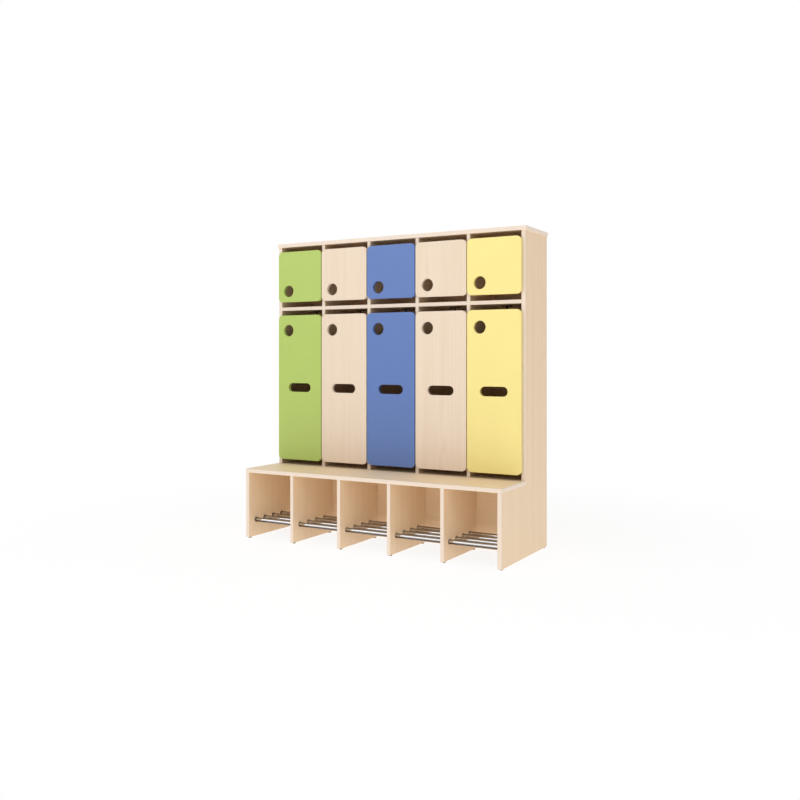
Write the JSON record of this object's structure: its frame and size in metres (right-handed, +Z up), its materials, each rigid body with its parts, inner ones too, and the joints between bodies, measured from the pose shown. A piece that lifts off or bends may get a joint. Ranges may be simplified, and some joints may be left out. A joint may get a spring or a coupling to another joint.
{
  "type": "kindergarten cloakroom bench",
  "caption": "Children's cloakroom bench with lockers: shoe cubbies with chrome rails under a long seat, coat and hat compartments with coloured doors that swing on concealed hinges.",
  "frame": {"origin": "on the floor under the middle of the bench's outer box", "axes": "+X to the right of a person who faces the doors, +Y to the back, +Z up"},
  "size_m": [1.28, 0.5, 1.375],
  "materials": {
    "maple_board": "satin",
    "maple_door": "satin",
    "green_door": "satin",
    "blue_door": "satin",
    "yellow_door": "satin",
    "back_board": "matt",
    "chrome_tube": "polished",
    "hook_black": "satin",
    "hinge_steel": "plated",
    "screw_steel": "plated",
    "glide_grey": "matt",
    "bumper_clear": "matt",
    "dowel_beech": "raw"
  },
  "bodies": {
    "carcass": {"side_panel_left": "maple_board", "side_panel_right": "maple_board", "top_panel": "maple_board", "seat_board": "maple_board", "bench_back_panel": "maple_board", "locker_back_panel": "back_board", "locker_divider_1": "maple_board", "bench_divider_1": "maple_board", "locker_divider_2": "maple_board", "bench_divider_2": "maple_board", "locker_divider_3": "maple_board", "bench_divider_3": "maple_board", "locker_divider_4": "maple_board", "bench_divider_4": "maple_board", "hat_shelf_1": "maple_board", "shoe_rails_1": "chrome_tube", "coat_hook_1": "hook_black", "hat_shelf_2": "maple_board", "shoe_rails_2": "chrome_tube", "coat_hook_2": "hook_black", "hat_shelf_3": "maple_board", "shoe_rails_3": "chrome_tube", "coat_hook_3": "hook_black", "hat_shelf_4": "maple_board", "shoe_rails_4": "chrome_tube", "coat_hook_4": "hook_black", "hat_shelf_5": "maple_board", "shoe_rails_5": "chrome_tube", "coat_hook_5": "hook_black", "rail_sockets": "chrome_tube", "hook_screws": "screw_steel", "glides": "glide_grey", "hinge_arms": "hinge_steel", "hinge_pins": "hinge_steel", "hinge_plates": "hinge_steel", "hinge_plate_screws": "screw_steel", "door_bumpers": "bumper_clear", "panel_dowels": "dowel_beech", "shelf_dowels": "dowel_beech", "back_panel_screws": "screw_steel"},
    "hat_door_body_1": {"hat_door_1": "green_door", "hat_door_hinge_cups_1": "hinge_steel"},
    "hat_door_body_2": {"hat_door_2": "maple_door", "hat_door_hinge_cups_2": "hinge_steel"},
    "hat_door_body_3": {"hat_door_3": "blue_door", "hat_door_hinge_cups_3": "hinge_steel"},
    "hat_door_body_4": {"hat_door_4": "maple_door", "hat_door_hinge_cups_4": "hinge_steel"},
    "hat_door_body_5": {"hat_door_5": "yellow_door", "hat_door_hinge_cups_5": "hinge_steel"},
    "tall_door_body_1": {"tall_door_1": "green_door", "tall_door_hinge_cups_1": "hinge_steel"},
    "tall_door_body_2": {"tall_door_2": "maple_door", "tall_door_hinge_cups_2": "hinge_steel"},
    "tall_door_body_3": {"tall_door_3": "blue_door", "tall_door_hinge_cups_3": "hinge_steel"},
    "tall_door_body_4": {"tall_door_4": "maple_door", "tall_door_hinge_cups_4": "hinge_steel"},
    "tall_door_body_5": {"tall_door_5": "yellow_door", "tall_door_hinge_cups_5": "hinge_steel"}
  },
  "joints": [
    {"name": "hat_door_hinge_1", "type": "hinge", "parent": "carcass", "child": "hat_door_body_1", "pos_m": [-0.385, -0.011, 1.2135], "axis": [0, 0, 1], "range_deg": [0, 95]},
    {"name": "hat_door_hinge_2", "type": "hinge", "parent": "carcass", "child": "hat_door_body_2", "pos_m": [-0.135, -0.011, 1.2135], "axis": [0, 0, 1], "range_deg": [0, 95]},
    {"name": "hat_door_hinge_3", "type": "hinge", "parent": "carcass", "child": "hat_door_body_3", "pos_m": [0.115, -0.011, 1.2135], "axis": [0, 0, 1], "range_deg": [0, 95]},
    {"name": "hat_door_hinge_4", "type": "hinge", "parent": "carcass", "child": "hat_door_body_4", "pos_m": [0.365, -0.011, 1.2135], "axis": [0, 0, 1], "range_deg": [0, 95]},
    {"name": "hat_door_hinge_5", "type": "hinge", "parent": "carcass", "child": "hat_door_body_5", "pos_m": [0.615, -0.011, 1.2135], "axis": [0, 0, 1], "range_deg": [0, 95]},
    {"name": "tall_door_hinge_1", "type": "hinge", "parent": "carcass", "child": "tall_door_body_1", "pos_m": [-0.385, -0.011, 0.687], "axis": [0, 0, 1], "range_deg": [0, 95]},
    {"name": "tall_door_hinge_2", "type": "hinge", "parent": "carcass", "child": "tall_door_body_2", "pos_m": [-0.135, -0.011, 0.687], "axis": [0, 0, 1], "range_deg": [0, 95]},
    {"name": "tall_door_hinge_3", "type": "hinge", "parent": "carcass", "child": "tall_door_body_3", "pos_m": [0.115, -0.011, 0.687], "axis": [0, 0, 1], "range_deg": [0, 95]},
    {"name": "tall_door_hinge_4", "type": "hinge", "parent": "carcass", "child": "tall_door_body_4", "pos_m": [0.365, -0.011, 0.687], "axis": [0, 0, 1], "range_deg": [0, 95]},
    {"name": "tall_door_hinge_5", "type": "hinge", "parent": "carcass", "child": "tall_door_body_5", "pos_m": [0.615, -0.011, 0.687], "axis": [0, 0, 1], "range_deg": [0, 95]}
  ]
}
